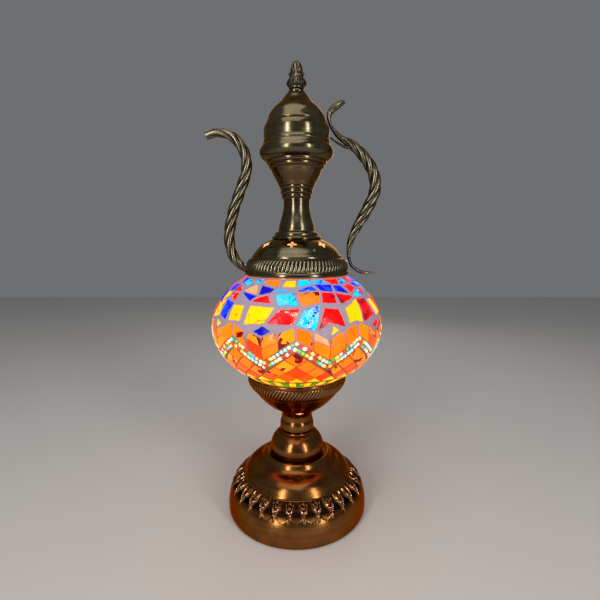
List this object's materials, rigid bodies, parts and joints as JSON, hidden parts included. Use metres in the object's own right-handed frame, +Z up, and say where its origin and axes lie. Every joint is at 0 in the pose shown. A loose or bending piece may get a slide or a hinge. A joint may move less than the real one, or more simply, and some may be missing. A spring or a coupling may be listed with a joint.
{
  "type": "mosaic glass table lamp",
  "caption": "Ewer-shaped table lamp: spun metal foot and cup, lit mosaic glass globe, and a metal top with spout, handle and finial.",
  "frame": {"origin": "centre of the underside, on the surface the lamp stands on", "axes": "+Z up the lamp, spout towards -X, handle towards +X, front towards -Y, cord inlet towards +Y"},
  "size_m": [0.1698, 0.167, 0.4376],
  "materials": {
    "felt": "short dense felt",
    "zinc_steel": "zinc plated, satin",
    "copper_brass": "antique copper-brown patina, lathe brushed, lacquered",
    "dark_brass": "antique dark bronze patina, lathe brushed, lacquered",
    "cast_brass": "cast, darkened in the recesses, rubbed bright on the ridges",
    "black_plastic": "moulded",
    "rubber_seal": "soft matt",
    "holder_ceramic": "unglazed",
    "thread_brass": "bright",
    "bulb_glass": "frosted, lit warm white",
    "bulb_cap_metal": "bright rolled thread",
    "globe_glass": "clear blown glass",
    "grout": "grey plaster grout, lit from behind",
    "tile_red": "translucent red glass",
    "tile_blue": "translucent cobalt glass",
    "tile_cyan": "translucent turquoise glass",
    "tile_yellow": "translucent yellow glass",
    "tile_amber": "streaky amber glass",
    "tile_flame": "streaky red-orange glass",
    "tile_green": "translucent green glass",
    "tile_peach": "pale peach glass",
    "bead_white": "clear and pearl seed beads",
    "bead_red": "red seed beads",
    "bead_green": "green seed beads",
    "bead_yellow": "yellow seed beads",
    "bead_blue": "blue seed beads"
  },
  "bodies": {
    "root": {"felt_pad": "felt", "base_plate": "zinc_steel", "base_shell": "copper_brass", "cord_bushing": "black_plastic", "base_dome": "copper_brass", "stem_collar": "copper_brass", "globe_cup": "copper_brass", "threaded_tube": "zinc_steel", "tube_washers": "zinc_steel", "tube_nuts": "zinc_steel", "lower_seal": "rubber_seal", "lamp_holder": "black_plastic", "holder_insert": "holder_ceramic", "holder_thread": "thread_brass", "holder_contact": "thread_brass"},
    "bulb": {"bulb_glass": "bulb_glass", "bulb_cap": "bulb_cap_metal", "bulb_tip": "black_plastic"},
    "globe": {"globe_glass": "globe_glass", "grout_bed": "grout", "tiles_red": "tile_red", "tiles_blue": "tile_blue", "tiles_cyan": "tile_cyan", "tiles_yellow": "tile_yellow", "tiles_amber": "tile_amber", "tiles_flame": "tile_flame", "tiles_green": "tile_green", "tiles_peach": "tile_peach", "beads_white": "bead_white", "beads_red": "bead_red", "beads_green": "bead_green", "beads_yellow": "bead_yellow", "beads_blue": "bead_blue"},
    "top": {"upper_seal": "rubber_seal", "top_skirt": "dark_brass", "skirt_clips": "zinc_steel", "clip_screws": "dark_brass", "top_rod": "zinc_steel", "rod_washer": "zinc_steel", "rod_nut": "zinc_steel", "neck": "dark_brass", "crown": "dark_brass", "lid_band": "dark_brass", "lid_dome": "dark_brass", "finial_seat": "dark_brass", "spout": "cast_brass", "handle": "cast_brass", "arm_screws": "zinc_steel"},
    "finial": {"finial": "cast_brass"}
  },
  "joints": [
    {"name": "bulb_out", "type": "slide", "parent": "root", "child": "bulb", "axis": [0, 0, 1], "range_m": [0, 0.025]},
    {"name": "globe_lift", "type": "slide", "parent": "root", "child": "globe", "axis": [0, 0, 1], "range_m": [0, 0.12]},
    {"name": "top_lift", "type": "slide", "parent": "globe", "child": "top", "axis": [0, 0, 1], "range_m": [0, 0.04]},
    {"name": "finial_turn", "type": "hinge", "parent": "top", "child": "finial", "pos_m": [0, 0, 0.42], "axis": [0, 0, 1], "continuous": true}
  ]
}
